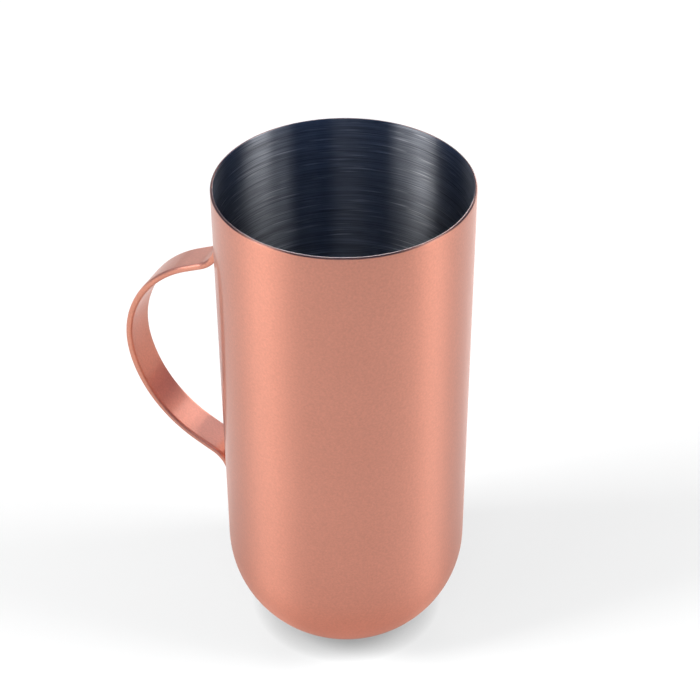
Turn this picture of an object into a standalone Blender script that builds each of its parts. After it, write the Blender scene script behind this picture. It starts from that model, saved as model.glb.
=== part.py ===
"""Tall frothing cup: a drawn steel cup with a bent strap handle spot-welded to it.

Metres, +Z up. The origin is the centre of the flat base, and the handle points along -X.
"""

import math

import bmesh
import bpy
import numpy as np

MM = 0.001

# Cup: one drawn shell, straight down from the rim, then a large corner arc, a toe arc and a flat base
CUP_HEIGHT = 170.0 * MM
CUP_RADIUS = 40.0 * MM
WALL = 0.8 * MM
CORNER_RADIUS = 37.2 * MM
TOE_RADIUS = 8.0 * MM
BASE_FLAT_RADIUS = 17.5 * MM
RIM_EDGE_RADIUS = 0.2 * MM

# Handle strap: flat bar with rounded long edges, its feet curled to the cup and rounded at their ends
STRAP_WIDTH = 12.5 * MM
STRAP_THICKNESS = 2.2 * MM
STRAP_EDGE_RADIUS = 0.5 * MM
FOOT_LENGTH = 12.0 * MM
FOOT_CORNER_RADIUS = 3.0 * MM
FOOT_CURL_FADE = 10.0 * MM

# Handle side shape, from the upper foot to the lower one: centre-line radii, and the heading in
# degrees that each arc ends on. Heading 0 points straight out from the cup and 90 straight down.
DOWN = 90.0
UPPER_BEND_RADIUS = 10.8 * MM
UPPER_BEND_HEADING = 23.7
SHOULDER_STRAIGHT = 6.0 * MM
BOW_ARCS = (
    (38.4 * MM, 70.5),
    (33.2 * MM, 100.8),
    (42.7 * MM, 152.6),
)
LOWER_BEND_RADIUS = 10.1 * MM

# Where the handle sits: the upper bend below the rim, the lower bend above the cup's corner arc
UPPER_BEND_BELOW_RIM = 29.0 * MM
LOWER_BEND_ABOVE_CORNER = 13.7 * MM

# Spot welds: two nuggets side by side in each foot
NUGGET_RADIUS = 1.6 * MM
NUGGET_THICKNESS = 0.7 * MM
NUGGET_FROM_STRAP_EDGE = 3.1 * MM
NUGGET_EDGE = 0.15 * MM

# Gap left between pieces that touch on the real cup
CLEARANCE = 0.3 * MM

# Fineness of the round shapes
CUP_SEGMENTS = 96
CORNER_STEPS = 12
TOE_STEPS = 4
RIM_STEPS = 3
EDGE_STEPS = 2
FACE_STEPS = 6
BEND_STEPS = 8
BOW_STEPS = 10
FOOT_END_STEPS = 6
NUGGET_SEGMENTS = 24
NUGGET_EDGE_STEPS = 2
SHARP_ANGLE = math.radians(35.0)

QUARTER_TURN = 90.0
COPPER = (0.527, 0.227, 0.162, 1.0)
COPPER_ROUGHNESS = 0.32
STEEL = (0.45, 0.45, 0.46, 1.0)
STEEL_ROUGHNESS = 0.3


def clear_scene():
    for obj in list(bpy.data.objects):
        bpy.data.objects.remove(obj, do_unlink=True)


def metal(name, colour, roughness):
    material = bpy.data.materials.new(name)
    material.use_nodes = True
    shader = material.node_tree.nodes["Principled BSDF"]
    shader.inputs["Base Color"].default_value = colour
    shader.inputs["Metallic"].default_value = 1.0
    shader.inputs["Roughness"].default_value = roughness
    return material


def add_object(name, bm):
    """Move a finished bmesh into a new object, smooth except along its real edges."""
    mesh = bpy.data.meshes.new(name)
    bm.to_mesh(mesh)
    bm.free()
    mesh.shade_smooth()
    mesh.set_sharp_from_angle(angle=SHARP_ANGLE)
    obj = bpy.data.objects.new(name, mesh)
    bpy.context.collection.objects.link(obj)
    return obj


def arc(centre, radius, start, end, steps):
    """Points on a circle from start to end, both in degrees and both included."""
    angles = np.radians(np.linspace(start, end, steps + 1))
    return [(centre[0] + radius * math.cos(a), centre[1] + radius * math.sin(a)) for a in angles]


def corner_centre():
    """Centre of the corner arc: the toe arc touches the base plane, and the corner arc from inside."""
    out = CUP_RADIUS - CORNER_RADIUS
    across = BASE_FLAT_RADIUS - out
    between = CORNER_RADIUS - TOE_RADIUS
    return out, TOE_RADIUS + math.sqrt(between**2 - across**2)


def cup_side(inset):
    """The side from the corner arc to the middle of the base, moved inwards by inset."""
    corner = corner_centre()
    toe = (BASE_FLAT_RADIUS, TOE_RADIUS)
    meet = math.degrees(math.atan2(toe[1] - corner[1], toe[0] - corner[0]))
    side = arc(corner, CORNER_RADIUS - inset, 0.0, meet, CORNER_STEPS)
    side += arc(toe, TOE_RADIUS - inset, meet, -QUARTER_TURN, TOE_STEPS)[1:]
    side.append((0.0, inset))
    return side


def cup_profile():
    """The cup's closed half section, from the rim down the outside and back up the inside."""
    top = CUP_HEIGHT - RIM_EDGE_RADIUS
    outer_edge = (CUP_RADIUS - RIM_EDGE_RADIUS, top)
    inner_edge = (CUP_RADIUS - WALL + RIM_EDGE_RADIUS, top)
    rim_out = arc(outer_edge, RIM_EDGE_RADIUS, QUARTER_TURN, 0.0, RIM_STEPS)
    rim_in = arc(inner_edge, RIM_EDGE_RADIUS, 2 * QUARTER_TURN, QUARTER_TURN, RIM_STEPS)
    return rim_out + cup_side(0.0) + cup_side(WALL)[::-1] + rim_in


def add_ring(bm, radius, height):
    """A ring of points round the axis, or a single point on it."""
    if radius == 0.0:
        return [bm.verts.new((0.0, 0.0, height))]
    angles = np.linspace(0.0, 2 * math.pi, CUP_SEGMENTS, endpoint=False)
    return [bm.verts.new((radius * math.cos(a), radius * math.sin(a), height)) for a in angles]


def make_cup(material):
    """The half section turned about Z; where it meets the axis it closes in a fan of triangles."""
    bm = bmesh.new()
    rings = [add_ring(bm, radius, height) for radius, height in cup_profile()]
    for upper, lower in zip(rings, rings[1:] + rings[:1]):
        for i in range(CUP_SEGMENTS):
            j = (i + 1) % CUP_SEGMENTS
            corners = (
                upper[i % len(upper)],
                lower[i % len(lower)],
                lower[j % len(lower)],
                upper[j % len(upper)],
            )
            face = list(dict.fromkeys(corners))
            if len(face) > 2:
                bm.faces.new(face)
    cup = add_object("cup_body", bm)
    cup.data.materials.append(material)
    return cup


def turn(points, heading, new_heading, radius, steps):
    """Carry the centre line on round an arc; points hold (distance out, height)."""
    side = math.copysign(1.0, heading - new_heading) * radius
    out, up = points[-1]
    centre_out = out + side * math.sin(math.radians(heading))
    centre_up = up + side * math.cos(math.radians(heading))
    for angle in np.radians(np.linspace(heading, new_heading, steps + 1))[1:]:
        points.append((centre_out - side * math.sin(angle), centre_up - side * math.cos(angle)))


def go_straight(points, heading, length):
    out, up = points[-1]
    angle = math.radians(heading)
    points.append((out + length * math.cos(angle), up - length * math.sin(angle)))


def handle_bow():
    """Centre line from the upper bend to the lower one, starting at the origin.

    The last straight is as long as it takes to bring the strap back to the cup.
    """
    points = [(0.0, 0.0)]
    turn(points, DOWN, UPPER_BEND_HEADING, UPPER_BEND_RADIUS, BEND_STEPS)
    go_straight(points, UPPER_BEND_HEADING, SHOULDER_STRAIGHT)
    heading = UPPER_BEND_HEADING
    for radius, new_heading in BOW_ARCS:
        turn(points, heading, new_heading, radius, BOW_STEPS)
        heading = new_heading
    slope = math.radians(heading)
    bend_reach = LOWER_BEND_RADIUS * (1.0 - math.sin(slope))
    go_straight(points, heading, (points[-1][0] - bend_reach) / -math.cos(slope))
    turn(points, heading, DOWN, LOWER_BEND_RADIUS, BEND_STEPS)
    return np.array(points)


def centre_line():
    """The strap's centre line as (distance from the cup's axis, height), and how far each station
    is from the end of its foot.

    The bow is stretched in height to run from its place below the rim to its place above the corner.
    """
    top = CUP_HEIGHT - UPPER_BEND_BELOW_RIM
    bottom = corner_centre()[1] + LOWER_BEND_ABOVE_CORNER
    bow = handle_bow()
    bow[:, 1] = top + bow[:, 1] * (bottom - top) / bow[-1, 1]
    from_end = FOOT_CORNER_RADIUS * (1.0 - np.cos(np.linspace(0.0, math.pi / 2, FOOT_END_STEPS + 1)))
    feet_out = np.zeros_like(from_end)
    upper_foot = np.column_stack([feet_out, top + FOOT_LENGTH - from_end])
    lower_foot = np.column_stack([feet_out, bottom - FOOT_LENGTH + from_end])[::-1]
    line = np.vstack([upper_foot, bow, lower_foot])
    line[:, 0] += CUP_RADIUS + CLEARANCE + STRAP_THICKNESS / 2
    return line, np.concatenate([from_end, np.full(len(bow), FOOT_LENGTH), from_end[::-1]])


def strap_section(half_width):
    """Cross-section as (across, outwards): a bar with rounded edges and points along both wide faces."""
    edge = STRAP_EDGE_RADIUS
    half = STRAP_THICKNESS / 2
    section = []
    for quarter, (across, out) in enumerate(((1, 1), (-1, 1), (-1, -1), (1, -1))):
        centre = (across * (half_width - edge), out * (half - edge))
        start = quarter * QUARTER_TURN
        section += arc(centre, edge, start, start + QUARTER_TURN, EDGE_STEPS)
        if across == out:
            for place in np.linspace(centre[0], -centre[0], FACE_STEPS + 1)[1:-1]:
                section.append((place, out * half))
    return section


def make_strap(material):
    """The section carried along the centre line; on the feet it is curled to the cup's own radius."""
    line, from_end = centre_line()
    tangents = np.gradient(line, axis=0)
    tangents /= np.linalg.norm(tangents, axis=1)[:, None]
    curls = np.clip(1.0 - (line[:, 0] - line[0, 0]) / FOOT_CURL_FADE, 0.0, 1.0)
    bm = bmesh.new()
    rings = []
    for (reach, height), (run, rise), curl, left in zip(line, tangents, curls, from_end):
        short = max(FOOT_CORNER_RADIUS - left, 0.0)
        narrowing = FOOT_CORNER_RADIUS - math.sqrt(FOOT_CORNER_RADIUS**2 - short**2)
        ring = []
        for across, out in strap_section(STRAP_WIDTH / 2 - narrowing):
            flat = reach - rise * out
            curled = math.sqrt(flat**2 - across**2)
            ring.append(bm.verts.new((-flat - curl * (curled - flat), -across, height + run * out)))
        rings.append(ring)
    count = len(rings[0])
    for near, far in zip(rings, rings[1:]):
        for i in range(count):
            j = (i + 1) % count
            bm.faces.new((near[i], near[j], far[j], far[i]))
    bm.faces.new(rings[0][::-1])
    bm.faces.new(rings[-1])
    bmesh.ops.recalc_face_normals(bm, faces=bm.faces)
    strap = add_object("handle_strap", bm)
    strap.data.materials.append(material)
    return strap


def add_disc(name, radius, start, depth, height, side, edge):
    """A disc in a foot, lying along the cup's radius from start outwards; side is -1 or +1 along Y."""
    bm = bmesh.new()
    bmesh.ops.create_cone(
        bm, cap_ends=True, segments=NUGGET_SEGMENTS, radius1=radius, radius2=radius, depth=depth
    )
    if edge > 0.0:
        rims = [e for e in bm.edges if math.isclose(e.verts[0].co.z, e.verts[1].co.z, abs_tol=edge)]
        bmesh.ops.bevel(bm, geom=rims, offset=edge, segments=NUGGET_EDGE_STEPS, affect="EDGES")
    obj = add_object(name, bm)
    swing = side * math.asin((STRAP_WIDTH / 2 - NUGGET_FROM_STRAP_EDGE) / CUP_RADIUS)
    middle = start + depth / 2
    obj.location = (-middle * math.cos(swing), middle * math.sin(swing), height)
    obj.rotation_euler = (0.0, -math.pi / 2, -swing)
    return obj


def cut_pocket(strap, name, height, side):
    """A round pocket in the strap's inner face that clears its nugget all round."""
    depth = NUGGET_THICKNESS + 2 * CLEARANCE
    cutter = add_disc(name, NUGGET_RADIUS + CLEARANCE, CUP_RADIUS, depth, height, side, 0.0)
    cutter.hide_render = True
    cutter.display_type = "WIRE"
    cut = strap.modifiers.new(name, "BOOLEAN")
    cut.operation = "DIFFERENCE"
    cut.solver = "EXACT"
    cut.object = cutter


def make_welds(strap, material):
    """Two nuggets side by side in the middle of each foot, each in its own pocket."""
    line, _ = centre_line()
    heights = {
        "upper": line[0, 1] - FOOT_LENGTH / 2,
        "lower": line[-1, 1] + FOOT_LENGTH / 2,
    }
    for foot, height in heights.items():
        for hand, side in (("front", -1), ("back", 1)):
            name = f"{foot}_weld_{hand}"
            start = CUP_RADIUS + CLEARANCE
            nugget = add_disc(name, NUGGET_RADIUS, start, NUGGET_THICKNESS, height, side, NUGGET_EDGE)
            nugget.data.materials.append(material)
            cut_pocket(strap, f"{name}_pocket", height, side)


def main():
    clear_scene()
    copper = metal("satin copper plate", COPPER, COPPER_ROUGHNESS)
    steel = metal("bare stainless steel", STEEL, STEEL_ROUGHNESS)
    make_cup(copper)
    strap = make_strap(copper)
    make_welds(strap, steel)


main()
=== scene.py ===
import math
import bpy
import numpy as np
from mathutils import Matrix, Vector


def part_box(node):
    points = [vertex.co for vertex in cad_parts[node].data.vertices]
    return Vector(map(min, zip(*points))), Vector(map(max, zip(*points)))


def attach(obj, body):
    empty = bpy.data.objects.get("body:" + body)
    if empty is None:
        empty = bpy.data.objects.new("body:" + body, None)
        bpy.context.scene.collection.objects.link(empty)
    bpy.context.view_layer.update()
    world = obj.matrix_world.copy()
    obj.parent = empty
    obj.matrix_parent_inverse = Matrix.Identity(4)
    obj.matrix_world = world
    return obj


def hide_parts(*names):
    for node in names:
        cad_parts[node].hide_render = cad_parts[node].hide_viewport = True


# A tall frothing cup: drawn steel, satin copper plate outside, brushed steel inside, bent strap handle.
# Metres, +Z up, the cup's axis on Z, its flat base on z = 0 and the handle towards -X.

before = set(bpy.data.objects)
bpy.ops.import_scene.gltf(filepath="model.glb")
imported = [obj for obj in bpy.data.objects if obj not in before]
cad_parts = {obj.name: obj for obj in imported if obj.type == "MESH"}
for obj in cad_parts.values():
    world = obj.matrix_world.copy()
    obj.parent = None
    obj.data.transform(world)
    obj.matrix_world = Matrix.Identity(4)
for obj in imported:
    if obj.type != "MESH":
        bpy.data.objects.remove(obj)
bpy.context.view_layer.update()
mm = 0.001
quarterTurn = 90.0
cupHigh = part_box("cup_body")[1]
strapLow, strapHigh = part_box("handle_strap")
print("frame loaded:", len(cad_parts), "nodes")


def arc(centre, radius, start, end, count):
    # points on a circle, start and end in degrees: centre + radius * (cos, sin)
    angle = np.radians(np.linspace(start, end, count))
    return np.column_stack([centre[0] + radius * np.cos(angle), centre[1] + radius * np.sin(angle)])


def meshPiece(name, points, faces, material, uvs=None):
    # one object at the origin from arrays of points and faces, smooth shaded, with the "grain" UV map:
    # every face corner takes the uv of its point
    mesh = bpy.data.meshes.new(name)
    mesh.from_pydata(points, [], faces)
    mesh.validate()
    if uvs is not None:
        corner = np.empty(len(mesh.loops), dtype=np.int32)
        mesh.loops.foreach_get("vertex_index", corner)
        layer = mesh.uv_layers.new(name="grain")
        layer.data.foreach_set("uv", uvs[corner].astype(np.float32).ravel())
    mesh.shade_smooth()
    mesh.materials.append(material)
    piece = bpy.data.objects.new(name, mesh)
    bpy.context.scene.collection.objects.link(piece)
    return piece


def gridFaces(rows, columns):
    # quads between neighbouring rows of a grid whose columns close into a ring;
    # point number = row * columns + column
    row = np.arange(rows - 1)[:, None] * columns
    column = np.arange(columns)[None, :]
    after = (column + 1) % columns
    quads = np.stack([row + column, row + after, row + columns + after, row + columns + column], -1)
    return quads.reshape(-1, 4)


def turnProfile(name, profile, segments, material):
    # p(a, s) = (r(s) cos a, r(s) sin a, z(s)): a half section from axis to axis turned about Z,
    # its rings joined by quads and each end closed by a fan to one point on the axis
    ring = profile[1:-1]
    angle = np.linspace(0.0, 2.0 * math.pi, segments, endpoint=False)
    points = np.empty((len(ring), segments, 3))
    points[..., 0] = ring[:, :1] * np.cos(angle)
    points[..., 1] = ring[:, :1] * np.sin(angle)
    points[..., 2] = ring[:, 1:]
    along = np.concatenate([[0.0], np.cumsum(np.hypot(*np.diff(profile, axis=0).T))])
    uvs = np.empty((len(ring), segments, 2))
    uvs[..., 0] = along[1:-1, None]
    uvs[..., 1] = angle * profile[:, 0].max()
    first = len(ring) * segments
    poles = np.array([[0.0, 0.0, profile[0, 1]], [0.0, 0.0, profile[-1, 1]]])
    poleUvs = np.array([[along[0], 0.0], [along[-1], 0.0]])
    here = np.arange(segments)
    after = (here + 1) % segments
    lastRow = (len(ring) - 1) * segments
    fans = np.concatenate([
        np.stack([np.full(segments, first), after, here], -1),
        np.stack([np.full(segments, first + 1), lastRow + here, lastRow + after], -1),
    ])
    faces = gridFaces(len(ring), segments).tolist() + fans.tolist()
    allPoints = np.concatenate([points.reshape(-1, 3), poles])
    allUvs = np.concatenate([uvs.reshape(-1, 2), poleUvs])
    return meshPiece(name, allPoints, faces, material, allUvs)


def linearColour(hexCode):
    # sRGB hex to linear: c / 12.92 near black, else ((c + 0.055) / 1.055) ^ 2.4
    value = np.array([int(hexCode[i:i + 2], 16) for i in (1, 3, 5)]) / 255.0
    linear = np.where(value <= 0.04045, value / 12.92, ((value + 0.055) / 1.055) ** 2.4)
    return (*linear.tolist(), 1.0)


def addNode(tree, kind, values=None, links=None, **settings):
    # one node with its settings, its socket values and the links into it
    node = tree.nodes.new(kind)
    for key, value in settings.items():
        setattr(node, key, value)
    sockets = {socket.name: socket for socket in reversed(node.inputs) if socket.enabled}
    sockets.update(enumerate(node.inputs))
    for key, value in (values or {}).items():
        sockets[key].default_value = value
    for key, source in (links or {}).items():
        tree.links.new(source, sockets[key])
    return node


def newMaterial(name):
    # an untouched Principled material, with its node tree and its shader
    material = bpy.data.materials.new(name)
    material.use_nodes = True
    tree = material.node_tree
    return material, tree, tree.nodes["Principled BSDF"]


copperLook = {
    "colour": "#D69079",
    "deepColour": "#D08B74",
    "roughness": 0.41,
    "roughnessSpread": 0.03,
    "anisotropy": 0.85,
    "lacquer": 0.4,
    "lacquerRoughness": 0.1,
    "grainSize": 0.7 * mm,        # the real satin grain is finer; drawn as coarse as it needs to show
    "grainHeight": 0.02 * mm,
    "grainShade": 0.16,
    "grainDetail": 2.0,
    "cloudSize": 30 * mm,
    "cloudDetail": 3.0,
    "rimPaintedShade": "#8C5F51",       # painted shade: the rim's rounded top coloured a darker copper, for the dark line along the rim
    "rimShadeBand": (0.45 * mm, 0.2 * mm),   # below the rim: where the painted shade starts, and where it is full
}


def satinCopperPlate(look):
    # Electroplated copper over a satin-brushed body, under a thin clear lacquer: a soft, slightly streaked
    # gloss. The fine grain keeps the highlights velvety, the clouds keep the tone from being dead even.
    material, tree, shader = newMaterial("satin copper plate")
    coordinates = addNode(tree, "ShaderNodeTexCoord")
    clouds = addNode(tree, "ShaderNodeTexNoise",
                     {"Scale": 1.0 / look["cloudSize"], "Detail": look["cloudDetail"]},
                     {"Vector": coordinates.outputs["Object"]})
    tone = addNode(tree, "ShaderNodeMix",
                   {"A": linearColour(look["colour"]), "B": linearColour(look["deepColour"])},
                   {"Factor": clouds.outputs["Fac"]}, data_type="RGBA")
    place = addNode(tree, "ShaderNodeSeparateXYZ", links={"Vector": coordinates.outputs["Object"]})
    # painted shade: the copper on the rim's rounded top darkened, for the dark line along the rim
    onRim = addNode(tree, "ShaderNodeMapRange",
                    {"From Min": cupHigh.z - look["rimShadeBand"][0], "From Max": cupHigh.z - look["rimShadeBand"][1]},
                    {"Value": place.outputs["Z"]})
    rimShaded = addNode(tree, "ShaderNodeMix", {"B": linearColour(look["rimPaintedShade"])},
                    {"Factor": onRim.outputs["Result"], "A": tone.outputs["Result"]}, data_type="RGBA")
    grain = addNode(tree, "ShaderNodeTexNoise",
                    {"Scale": 1.0 / look["grainSize"], "Detail": look["grainDetail"]},
                    {"Vector": coordinates.outputs["Object"]})
    gloss = addNode(tree, "ShaderNodeMapRange",
                    {"To Min": look["roughness"] - look["roughnessSpread"],
                     "To Max": look["roughness"] + look["roughnessSpread"]},
                    {"Value": grain.outputs["Fac"]})
    shade = addNode(tree, "ShaderNodeMapRange",
                    {"To Min": 1.0 - look["grainShade"], "To Max": 1.0 + look["grainShade"]},
                    {"Value": grain.outputs["Fac"]}, clamp=False)
    shaded = addNode(tree, "ShaderNodeVectorMath",
                     links={0: rimShaded.outputs["Result"], 1: shade.outputs["Result"]}, operation="MULTIPLY")
    bump = addNode(tree, "ShaderNodeBump", {"Distance": look["grainHeight"], "Strength": 1.0},
                   {"Height": grain.outputs["Fac"]})
    tangent = addNode(tree, "ShaderNodeTangent", direction_type="UV_MAP", uv_map="grain")
    shader.inputs["Metallic"].default_value = 1.0
    shader.inputs["Anisotropic"].default_value = look["anisotropy"]
    shader.inputs["Coat Weight"].default_value = look["lacquer"]
    shader.inputs["Coat Roughness"].default_value = look["lacquerRoughness"]
    for socket, source in (("Base Color", shaded.outputs["Vector"]),
                           ("Roughness", gloss.outputs["Result"]),
                           ("Normal", bump.outputs["Normal"]), ("Tangent", tangent.outputs["Tangent"])):
        tree.links.new(source, shader.inputs[socket])
    return material


steelLook = {
    "darkLine": "#808285",
    "brightLine": "#B4B6BC",
    "scratch": "#E6E6E6",
    "roughness": 0.30,
    "roughnessSpread": 0.05,
    "anisotropy": 1.0,
    "linePitch": 0.3 * mm,        # finer on the real cup; drawn as coarse as it needs to show
    "lineLength": 34 * mm,
    "lineDetail": 4.0,
    "lineShare": (0.38, 0.62),    # noise levels of the dark and the bright lines
    "lineHeight": 0.004 * mm,
    "scratchPitch": 0.7 * mm,
    "scratchLength": 16 * mm,
    "scratchDetail": 1.0,
    "scratchShare": (0.61, 0.80),  # noise levels between which a stray bright ring appears
    "noiseRoughness": 0.7,
}


def brushedSteel(look):
    # Stainless steel brushed on the lathe: fine rings round the axis, seen as short bright arcs where
    # they catch a lamp, and highlights drawn out into bands along the cup.
    material, tree, shader = newMaterial("lathe-brushed stainless steel")
    coordinates = addNode(tree, "ShaderNodeTexCoord")
    place = addNode(tree, "ShaderNodeSeparateXYZ", links={"Vector": coordinates.outputs["Object"]})
    profile = addNode(tree, "ShaderNodeSeparateXYZ", links={"Vector": coordinates.outputs["UV"]})
    ringSpace = addNode(tree, "ShaderNodeCombineXYZ",
                        links={"X": place.outputs["X"], "Y": place.outputs["Y"], "Z": profile.outputs["X"]})
    rings = []
    for length, pitch, detail in ((look["lineLength"], look["linePitch"], look["lineDetail"]),
                                  (look["scratchLength"], look["scratchPitch"], look["scratchDetail"])):
        stretch = addNode(tree, "ShaderNodeMapping", {"Scale": (1.0 / length, 1.0 / length, 1.0 / pitch)},
                          {"Vector": ringSpace.outputs["Vector"]})
        rings.append(addNode(tree, "ShaderNodeTexNoise",
                             {"Scale": 1.0, "Detail": detail, "Roughness": look["noiseRoughness"]},
                             {"Vector": stretch.outputs["Vector"]}))
    lines, scratches = rings
    contrast = addNode(tree, "ShaderNodeMapRange",
                       {"From Min": look["lineShare"][0], "From Max": look["lineShare"][1]},
                       {"Value": lines.outputs["Fac"]})
    tone = addNode(tree, "ShaderNodeMix",
                   {"A": linearColour(look["darkLine"]), "B": linearColour(look["brightLine"])},
                   {"Factor": contrast.outputs["Result"]}, data_type="RGBA")
    stray = addNode(tree, "ShaderNodeMapRange",
                    {"From Min": look["scratchShare"][0], "From Max": look["scratchShare"][1]},
                    {"Value": scratches.outputs["Fac"]})
    scratched = addNode(tree, "ShaderNodeMix", {"B": linearColour(look["scratch"])},
                        {"Factor": stray.outputs["Result"], "A": tone.outputs["Result"]}, data_type="RGBA")
    gloss = addNode(tree, "ShaderNodeMapRange",
                    {"To Min": look["roughness"] - look["roughnessSpread"],
                     "To Max": look["roughness"] + look["roughnessSpread"]},
                    {"Value": lines.outputs["Fac"]})
    bump = addNode(tree, "ShaderNodeBump", {"Distance": look["lineHeight"], "Strength": 1.0},
                   {"Height": lines.outputs["Fac"]})
    tangent = addNode(tree, "ShaderNodeTangent", direction_type="UV_MAP", uv_map="grain")
    shader.inputs["Metallic"].default_value = 1.0
    shader.inputs["Anisotropic"].default_value = look["anisotropy"]
    for socket, source in (("Base Color", scratched.outputs["Result"]),
                           ("Roughness", gloss.outputs["Result"]),
                           ("Normal", bump.outputs["Normal"]), ("Tangent", tangent.outputs["Tangent"])):
        tree.links.new(source, shader.inputs[socket])
    return material


copper = satinCopperPlate(copperLook)
steel = brushedSteel(steelLook)
print("materials made")


# the drawn cup: a copper skin outside and a steel shell inside, both turned from half sections
cup = {
    "segments": 288,
    "radius": cupHigh.x,
    "height": cupHigh.z,
    "wall": 0.8 * mm,
    "plate": 0.74 * mm,           # drawn far thicker than real plating, so that both skins are solid
    "cornerRadius": 37.2 * mm,
    "toeRadius": 8.0 * mm,        # between the flat base and the corner
    "baseFlatRadius": 17.5 * mm,
    "outerEdge": 0.5 * mm,        # rounding of the rim's outer and inner edge
    "innerEdge": 0.06 * mm,
    "wallRows": 40,
    # points along the half section's flat base, toe arc, corner arc and the rim's two roundings
    "basePoints": 12,
    "toePoints": 14,
    "cornerPoints": 48,
    "outerEdgePoints": 10,
    "innerEdgePoints": 8,
}


def cupSide(size, inset):
    # from the middle of the base outwards, moved in by inset: flat base, toe arc, corner arc to the wall.
    # The toe arc stands on the base plane and touches the corner arc from inside, so
    # corner height = toe radius + sqrt((corner radius - toe radius)^2 - (distance between centres across)^2)
    cornerOut = size["radius"] - size["cornerRadius"]
    across = size["baseFlatRadius"] - cornerOut
    between = size["cornerRadius"] - size["toeRadius"]
    cornerUp = size["toeRadius"] + math.sqrt(between ** 2 - across ** 2)
    meet = math.degrees(math.atan2(size["toeRadius"] - cornerUp, across))
    flat = np.linspace(0.0, size["baseFlatRadius"], size["basePoints"])[:-1]
    base = np.column_stack([flat, np.full(len(flat), inset)])
    toe = arc((size["baseFlatRadius"], size["toeRadius"]), size["toeRadius"] - inset,
              -quarterTurn, meet, size["toePoints"])
    corner = arc((cornerOut, cornerUp), size["cornerRadius"] - inset, meet, 0.0, size["cornerPoints"])
    return np.concatenate([base, toe[:-1], corner])


def wallUp(foot, top, rows):
    # evenly spaced points up a straight wall, from just above its foot
    heights = np.linspace(foot[1], top, rows)[1:]
    return np.column_stack([np.full(len(heights), foot[0]), heights])


def makeCup(size):
    # copper: up the outside, over the rim, back down the seam between the two metals;
    # steel: up the seam, over the inner edge, down the inside; each half section turned about Z
    rim = size["height"]
    outside = cupSide(size, 0.0)
    seam = cupSide(size, size["plate"])
    inside = cupSide(size, size["wall"])
    outerTop = rim - size["outerEdge"]
    innerTop = rim - size["innerEdge"]
    outerEdge = arc((size["radius"] - size["outerEdge"], outerTop), size["outerEdge"],
                    0.0, quarterTurn, size["outerEdgePoints"])
    innerEdge = arc((size["radius"] - size["wall"] + size["innerEdge"], innerTop), size["innerEdge"],
                    quarterTurn, 2 * quarterTurn, size["innerEdgePoints"])
    seamWall = np.concatenate([seam, wallUp(seam[-1], rim, size["wallRows"])])
    outerWall = wallUp(outside[-1], outerTop, size["wallRows"])[:-1]
    innerWall = wallUp(inside[-1], innerTop, size["wallRows"])[:-1]
    copperProfile = np.concatenate([outside, outerWall, outerEdge[:-1], seamWall[::-1]])
    steelProfile = np.concatenate([seamWall, innerEdge, innerWall[::-1], inside[::-1]])
    skin = turnProfile("copper_skin", copperProfile, size["segments"], copper)
    shell = turnProfile("steel_shell", steelProfile, size["segments"], steel)
    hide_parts("cup_body")
    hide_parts("cup_body")
    return [skin, shell]


cupPieces = makeCup(cup)
print("cup made")


# the strap handle: a flat bar bent to an ear, its ends lying on the cup as feet
handle = {
    "width": strapHigh.y - strapLow.y,
    "thickness": 2.2 * mm,
    "edgeRadius": 0.95 * mm,
    "gap": 0.3 * mm,              # between the feet and the cup wall
    "footLength": 12.0 * mm,
    "footCornerRadius": 3.0 * mm,
    "curlFade": 10.0 * mm,
    # the side shape: radius and the heading that each arc ends on, 0 straight out and 90 straight down
    "upperBend": (10.8 * mm, 23.7),
    "shoulder": 6.0 * mm,
    "bow": ((38.4 * mm, 70.5), (33.2 * mm, 100.8), (42.7 * mm, 152.6)),
    "lowerBendRadius": 10.1 * mm,
    "stepLength": 0.4 * mm,       # along the centre line
    "fewestSteps": 4,             # round any one arc
    "footEndSteps": 24,
    "faceColumns": 40,
    "edgeColumns": 14,
    "weldFromEdge": 3.1 * mm,
    "weldMarkRadius": 2.2 * mm,
    "weldMarkDepth": 0.12 * mm,
}


def turnOn(points, heading, newHeading, radius, step, fewest):
    # carries the line on round an arc whose centre c lies to the side that it turns to:
    # c = last point + r (sin h, cos h), and p(a) = c - r (sin a, cos a) as a goes on to newHeading
    side = math.copysign(radius, heading - newHeading)
    count = max(fewest, int(radius * math.radians(abs(newHeading - heading)) / step))
    angle = np.radians(np.linspace(heading, newHeading, count + 1))[1:]
    start = math.radians(heading)
    centre = points[-1] + side * np.array([math.sin(start), math.cos(start)])
    return np.concatenate([points, centre - side * np.column_stack([np.sin(angle), np.cos(angle)])])


def runOn(points, heading, length, step):
    # carries the line straight on: last point + t (cos heading, -sin heading), t from 0 to length
    count = max(1, int(length / step))
    direction = np.array([math.cos(math.radians(heading)), -math.sin(math.radians(heading))])
    distance = np.linspace(0.0, length, count + 1)[1:, None]
    return np.concatenate([points, points[-1] + distance * direction])


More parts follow.
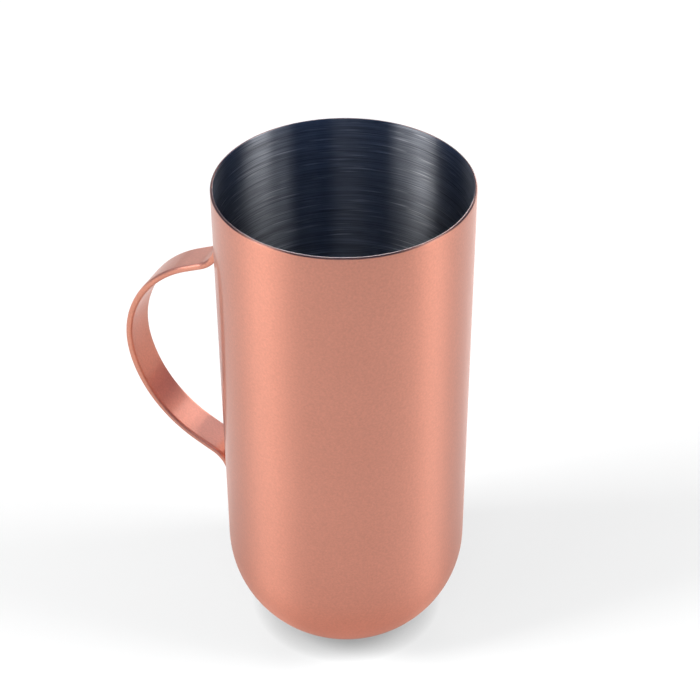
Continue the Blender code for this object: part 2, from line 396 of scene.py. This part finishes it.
def strapLine(size):
    # the centre line as (distance from the axis, height), and how far each point is from its foot's end:
    # foot, bend, shoulder, three arcs, straight, bend, foot, the bow stretched in height to meet both feet
    step = size["stepLength"]
    fewest = size["fewestSteps"]
    radius, heading = size["upperBend"]
    line = turnOn(np.zeros((1, 2)), quarterTurn, heading, radius, step, fewest)
    line = runOn(line, heading, size["shoulder"], step)
    for radius, newHeading in size["bow"]:
        line = turnOn(line, heading, newHeading, radius, step, fewest)
        heading = newHeading
    slope = math.radians(heading)
    bendReach = size["lowerBendRadius"] * (1.0 - math.sin(slope))
    line = runOn(line, heading, (line[-1, 0] - bendReach) / -math.cos(slope), step)
    line = turnOn(line, heading, quarterTurn, size["lowerBendRadius"], step, fewest)
    top = strapHigh.z - size["footLength"]
    bottom = strapLow.z + size["footLength"]
    line[:, 1] = top + line[:, 1] * (bottom - top) / line[-1, 1]
    rounded = size["footCornerRadius"] * (1.0 - np.cos(np.linspace(0.0, math.pi / 2, size["footEndSteps"])))
    rest = np.arange(size["footCornerRadius"] + step, size["footLength"], step)
    fromEnd = np.concatenate([rounded, rest])
    foot = np.zeros(len(fromEnd))
    upper = np.column_stack([foot, top + size["footLength"] - fromEnd])
    lower = np.column_stack([foot, bottom - size["footLength"] + fromEnd])[::-1]
    line = np.concatenate([upper, line, lower])
    line[:, 0] += cup["radius"] + size["gap"] + size["thickness"] / 2
    middle = np.full(len(line) - 2 * len(fromEnd), size["footLength"])
    return line, np.concatenate([fromEnd, middle, fromEnd[::-1]])


def strapRing(size):
    # the section as a rounded bar: point = side signs * (half size - edge radius) + edge radius * circle
    signs, circle = [], []
    faceRun = np.linspace(1.0, -1.0, size["faceColumns"] + 1)[1:-1]
    for quarter, (across, out) in enumerate(((1, 1), (-1, 1), (-1, -1), (1, -1))):
        start = quarter * quarterTurn
        corner = arc((0.0, 0.0), 1.0, start, start + quarterTurn, size["edgeColumns"])
        circle.append(corner)
        signs.append(np.tile([across, out], (len(corner), 1)))
        if across == out:
            signs.append(np.column_stack([across * faceRun, np.full(len(faceRun), out)]))
            circle.append(np.tile([0.0, float(out)], (len(faceRun), 1)))
    return np.concatenate(signs), np.concatenate(circle)


def makeHandle(size):
    # the ring carried along the line: p = line + out * normal, with across along Y;
    # on the feet it is curled to the cup, distance = sqrt(flat^2 - across^2), and each weld leaves a shallow
    # round mark, depth = full depth * sqrt(n (2 - n)) with n falling from 1 in its middle to 0 at its edge
    line, fromEnd = strapLine(size)
    signs, circle = strapRing(size)
    edge = size["edgeRadius"]
    short = np.maximum(size["footCornerRadius"] - fromEnd, 0.0)
    narrowing = size["footCornerRadius"] - np.sqrt(size["footCornerRadius"] ** 2 - short ** 2)
    shortEdge = np.maximum(edge - fromEnd, 0.0)
    inset = edge - np.sqrt(edge ** 2 - shortEdge ** 2)
    across = signs[:, 0] * (size["width"] / 2 - narrowing - inset - edge)[:, None] + edge * circle[:, 0]
    out = signs[:, 1] * (size["thickness"] / 2 - inset - edge)[:, None] + edge * circle[:, 1]
    weldAcross = np.abs(across) - (size["width"] / 2 - size["weldFromEdge"])
    weldAlong = fromEnd[:, None] - size["footLength"] / 2
    near = np.clip(1.0 - np.hypot(weldAcross, weldAlong) / size["weldMarkRadius"], 0.0, 1.0)
    outerFace = signs[:, 1] > 0
    onFoot = (fromEnd < size["footLength"])[:, None]
    out -= size["weldMarkDepth"] * np.sqrt(near * (2.0 - near)) * outerFace * onFoot
    tangent = np.gradient(line, axis=0)
    tangent /= np.linalg.norm(tangent, axis=1)[:, None]
    flat = line[:, :1] - tangent[:, 1:] * out
    height = line[:, 1:] + tangent[:, :1] * out
    curl = np.clip(1.0 - (line[:, :1] - line[0, 0]) / size["curlFade"], 0.0, 1.0)
    reach = flat + curl * (np.sqrt(flat ** 2 - across ** 2) - flat)
    points = np.stack([-reach, -across, height], -1)
    rows, columns = across.shape
    along = np.concatenate([[0.0], np.cumsum(np.hypot(*np.diff(line, axis=0).T))])
    middle = rows // 2
    girth = np.concatenate([[0.0], np.cumsum(np.hypot(np.diff(across[middle]), np.diff(out[middle])))])
    uvs = np.stack(np.broadcast_arrays(girth[None, :], along[:, None]), -1)
    ends = np.stack([points[0].mean(axis=0), points[-1].mean(axis=0)])
    first = rows * columns
    here = np.arange(columns)
    after = (here + 1) % columns
    lastRow = (rows - 1) * columns
    fans = np.concatenate([
        np.stack([np.full(columns, first), after, here], -1),
        np.stack([np.full(columns, first + 1), lastRow + here, lastRow + after], -1),
    ])
    faces = gridFaces(rows, columns).tolist() + fans.tolist()
    allPoints = np.concatenate([points.reshape(-1, 3), ends])
    allUvs = np.concatenate([uvs.reshape(-1, 2), [[0.0, 0.0], [0.0, along[-1]]]])
    strap = meshPiece("strap", allPoints, faces, copper, allUvs)
    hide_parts("handle_strap")
    return strap


strap = makeHandle(handle)
print("handle made")

for piece in cupPieces + [strap]:
    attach(piece, "root")
    piece.visible_diffuse = False         # the paper floor stays white beside the copper
for name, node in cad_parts.items():
    if "_weld_" in name:
        for slot in node.material_slots:
            slot.link = "OBJECT"
            slot.material = steel


# white paper, soft pale air, and what the metal mirrors: a dark room and a pale backdrop behind the cup
stage = {
    "floorHalf": 4.0,
    "floorColour": "#F8F8F8",
    "floorRoughness": 0.9,
    "floorSpecular": 0.2,
    "contactPaintedShade": "#B8B8B8",   # painted shade: the paper's colour where the cup closes it in
    "contactReach": 8 * mm,
    "contactSamples": 8,
    "mirroredPaintedShade": "#DCB4A6",    # painted shade and painted copper bounce light: the paper by the cup as metal mirrors it, warmed and darkened near the cup
    "mirroredReach": (18 * mm, 110 * mm),
    "air": "#FFFFFF",
    "airStrength": 0.5,           # as light
    "airSeen": 0.9,               # behind the paper, to the eye
    "room": "#4A6CA4",
    "backdrop": "#E8E8E8",
    "backdropTop": (0.15, 0.45),  # sine of the elevation
    "backdropSides": (0.3, 0.8),  # cosine of the angle from straight behind
}


def makeFloor(look):
    # a flat square of uncoated paper, matt and nearly white. Its tone goes from a painted contact shade to
    # its own with how open it is above; mirrored, from a painted warm shade to its own with distance from
    # the cup
    half = look["floorHalf"]
    material, tree, shader = newMaterial("matt white studio paper")
    own = linearColour(look["floorColour"])
    # painted shade: the paper darkened where the cup closes it in
    openness = addNode(tree, "ShaderNodeAmbientOcclusion", {"Distance": look["contactReach"]},
                       samples=look["contactSamples"])
    tone = addNode(tree, "ShaderNodeMix", {"A": linearColour(look["contactPaintedShade"]), "B": own},
                   {"Factor": openness.outputs["AO"]}, data_type="RGBA")
    coordinates = addNode(tree, "ShaderNodeTexCoord")
    distance = addNode(tree, "ShaderNodeVectorMath", links={0: coordinates.outputs["Object"]},
                       operation="LENGTH")
    # painted shade and painted copper bounce light: in reflections the paper is warmer and darker near the
    # cup
    away = addNode(tree, "ShaderNodeMapRange",
                   {"From Min": look["mirroredReach"][0], "From Max": look["mirroredReach"][1]},
                   {"Value": distance.outputs["Value"]}, interpolation_type="SMOOTHSTEP")
    mirrored = addNode(tree, "ShaderNodeMix", {"A": linearColour(look["mirroredPaintedShade"]), "B": own},
                       {"Factor": away.outputs["Result"]}, data_type="RGBA")
    rays = addNode(tree, "ShaderNodeLightPath")
    paper = addNode(tree, "ShaderNodeMix",
                    links={"Factor": rays.outputs["Is Glossy Ray"], "A": tone.outputs["Result"],
                           "B": mirrored.outputs["Result"]}, data_type="RGBA")
    tree.links.new(paper.outputs["Result"], shader.inputs["Base Color"])
    shader.inputs["Roughness"].default_value = look["floorRoughness"]
    shader.inputs["Specular IOR Level"].default_value = look["floorSpecular"]
    corners = np.array([[-half, -half, 0.0], [half, -half, 0.0], [half, half, 0.0], [-half, half, 0.0]])
    floor = meshPiece("floor", corners, [[0, 1, 2, 3]], material)
    return floor


view = {
    "azimuth": 23.44,             # round the cup from -Y towards +X, in degrees
    "reach": 464.8 * mm,          # from the cup's axis, level
    "aboveRim": 286.7 * mm,
    "tilt": 36.88,                # degrees down from level
    "turn": 0.202,                # degrees off the cup's axis
    "roll": -0.283,
    "lens": 93.6,                 # both in millimetres
    "sensor": 36.0,
}


def around(azimuth, elevation, distance, centre):
    # a point at that distance from the centre, azimuth 0 being towards the camera and 90 to its right:
    # centre + distance * (cos e sin a, -cos e cos a, sin e)
    angle = math.radians(view["azimuth"] + azimuth)
    rise = math.radians(elevation)
    level = distance * math.cos(rise)
    return centre + Vector((level * math.sin(angle), -level * math.cos(angle), distance * math.sin(rise)))


# name, degrees round from the camera's side to its right, degrees up, metres away, width and height, watts,
# and the only pieces that it lights, where it is flagged off the rest
lamps = [
    ("left softbox", -77, 34, 1.6, 0.55, 0.9, 14.5, ()),
    ("left strip", -57, 17, 1.6, 0.6, 0.6, 2.9, ()),
    ("right softbox", 84, 37, 1.6, 0.7, 1.0, 12.0, ()),
    ("right strip", 75, 12, 1.6, 0.5, 0.5, 2.6, ()),
    ("right edge light", 145, 10, 1.6, 0.6, 0.4, 6.0, ("copper_skin", "strap")),
    ("back strip", 186, 10, 1.6, 0.7, 0.3, 5.0, ()),
    ("front window", -5, 48, 1.6, 0.6, 0.5, 1.7, ()),
    ("strap kicker", 128, 35, 1.6, 0.7, 0.5, 3.0, ("strap",)),
]


def softbox(name, azimuth, elevation, distance, width, height, power, only):
    # a rectangular area lamp, from around(), aimed at the middle of the cup
    data = bpy.data.lights.new(name, "AREA")
    data.shape = "RECTANGLE"
    data.size = width
    data.size_y = height
    data.energy = power
    lamp = bpy.data.objects.new(name, data)
    bpy.context.scene.collection.objects.link(lamp)
    centre = Vector((0.0, 0.0, cup["height"] / 2))
    lamp.location = around(azimuth, elevation, distance, centre)
    lamp.rotation_euler = (centre - lamp.location).to_track_quat("-Z", "Y").to_euler()
    if only:
        lit = bpy.data.collections.new(name)
        for pieceName in only:
            lit.objects.link(bpy.data.objects[pieceName])
        lamp.light_linking.receiver_collection = lit
    return lamp


def makeWorld(look):
    # pale as light and to the eye; in reflections a dark room with a pale backdrop low down behind the cup:
    # glow = smooth step of (how far back the ray points) times smooth step down of (how high it points)
    world = bpy.data.worlds.new("studio")
    world.use_nodes = True
    tree = world.node_tree
    tree.nodes.clear()
    rays = addNode(tree, "ShaderNodeLightPath")
    coordinates = addNode(tree, "ShaderNodeTexCoord")
    angle = math.radians(view["azimuth"])
    backward = addNode(tree, "ShaderNodeVectorMath", {1: (-math.sin(angle), math.cos(angle), 0.0)},
                       {0: coordinates.outputs["Generated"]}, operation="DOT_PRODUCT")
    upward = addNode(tree, "ShaderNodeSeparateXYZ", links={"Vector": coordinates.outputs["Generated"]})
    behind = addNode(tree, "ShaderNodeMapRange",
                     {"From Min": look["backdropSides"][0], "From Max": look["backdropSides"][1]},
                     {"Value": backward.outputs["Value"]}, interpolation_type="SMOOTHSTEP")
    low = addNode(tree, "ShaderNodeMapRange",
                  {"From Min": look["backdropTop"][0], "From Max": look["backdropTop"][1],
                   "To Min": 1.0, "To Max": 0.0},
                  {"Value": upward.outputs["Z"]}, interpolation_type="SMOOTHSTEP")
    glow = addNode(tree, "ShaderNodeMath",
                   links={0: behind.outputs["Result"], 1: low.outputs["Result"]}, operation="MULTIPLY")
    mirrored = addNode(tree, "ShaderNodeMix",
                       {"A": linearColour(look["room"]), "B": linearColour(look["backdrop"])},
                       {"Factor": glow.outputs["Value"]}, data_type="RGBA")
    strength = addNode(tree, "ShaderNodeMapRange",
                       {"To Min": look["airStrength"], "To Max": look["airSeen"]},
                       {"Value": rays.outputs["Is Camera Ray"]})
    pale = addNode(tree, "ShaderNodeBackground", {"Color": linearColour(look["air"])},
                   {"Strength": strength.outputs["Result"]})
    reflected = addNode(tree, "ShaderNodeBackground", links={"Color": mirrored.outputs["Result"]})
    mixed = addNode(tree, "ShaderNodeMixShader",
                    links={0: rays.outputs["Is Glossy Ray"], 1: pale.outputs["Background"],
                           2: reflected.outputs["Background"]})
    addNode(tree, "ShaderNodeOutputWorld", links={"Surface": mixed.outputs["Shader"]})
    bpy.context.scene.world = world


def makeCamera(size):
    # stands at (reach sin a, -reach cos a, rim + aboveRim), looks back at heading a - turn, tilted down,
    # and is rolled about its own line of sight
    data = bpy.data.cameras.new("camera")
    data.lens = size["lens"]
    data.sensor_width = size["sensor"]
    camera = bpy.data.objects.new("camera", data)
    bpy.context.scene.collection.objects.link(camera)
    angle = math.radians(size["azimuth"])
    place = Matrix.Translation((size["reach"] * math.sin(angle), -size["reach"] * math.cos(angle),
                                cup["height"] + size["aboveRim"]))
    aim = (Matrix.Rotation(math.radians(size["azimuth"] - size["turn"]), 4, "Z")
           @ Matrix.Rotation(math.radians(quarterTurn - size["tilt"]), 4, "X")
           @ Matrix.Rotation(math.radians(size["roll"]), 4, "Z"))
    camera.matrix_world = place @ aim
    bpy.context.scene.camera = camera


makeFloor(stage)
makeWorld(stage)
for lamp in lamps:
    softbox(*lamp)
makeCamera(view)
bpy.context.scene.view_settings.view_transform = "Standard"
print("stage, lights and camera made")
